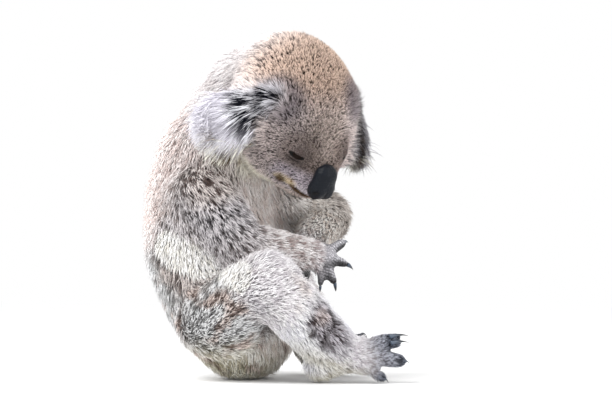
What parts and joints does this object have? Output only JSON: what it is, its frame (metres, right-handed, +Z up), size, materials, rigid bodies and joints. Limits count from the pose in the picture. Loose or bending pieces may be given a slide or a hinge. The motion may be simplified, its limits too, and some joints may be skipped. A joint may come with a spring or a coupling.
{
  "type": "koala",
  "caption": "Koala asleep on its haunches: rounded back, bowed head over folded forearms, drawn-up knees, feet laid forward with long claws.",
  "frame": {"origin": "middle of the underside of the whole box, on the floor that the rump and feet rest on", "axes": "+Z up, the chest faces -Y, and the animal's right side is at -X"},
  "size_m": [0.2756, 0.3582, 0.4448],
  "materials": {
    "back": "dense woolly coat, grey-brown above and creamy along the flank, faintly mottled",
    "face": "short dense coat, speckled grey-brown",
    "ear": "long white and slate-grey fringe",
    "arm": "woolly coat, dark grey flecked with white",
    "leg": "woolly coat, pale grey to white",
    "nose": "bare pebbled skin, satin",
    "eye": "wet brown eyeball under closed lids",
    "claw": "smooth dark horn, slightly glossy"
  },
  "bodies": {
    "root": {"trunk": "back", "neck": "back", "head": "face", "nose_pad": "nose", "right_eye": "eye", "left_eye": "eye", "right_ear": "ear", "left_ear": "ear", "left_fifth_finger_claw": "claw", "left_fifth_toe_claw": "claw", "left_first_finger_claw": "claw", "left_foot": "leg", "left_forearm": "arm", "left_fourth_finger_claw": "claw", "left_fourth_toe_claw": "claw", "left_hand": "arm", "left_second_finger_claw": "claw", "left_second_toe_claw": "claw", "left_shank": "leg", "left_thigh": "leg", "left_third_finger_claw": "claw", "left_third_toe_claw": "claw", "left_upper_arm": "arm", "right_fifth_finger_claw": "claw", "right_fifth_toe_claw": "claw", "right_first_finger_claw": "claw", "right_foot": "leg", "right_forearm": "arm", "right_fourth_finger_claw": "claw", "right_fourth_toe_claw": "claw", "right_hand": "arm", "right_second_finger_claw": "claw", "right_second_toe_claw": "claw", "right_shank": "leg", "right_thigh": "leg", "right_third_finger_claw": "claw", "right_third_toe_claw": "claw", "right_upper_arm": "arm"}
  },
  "joints": []
}
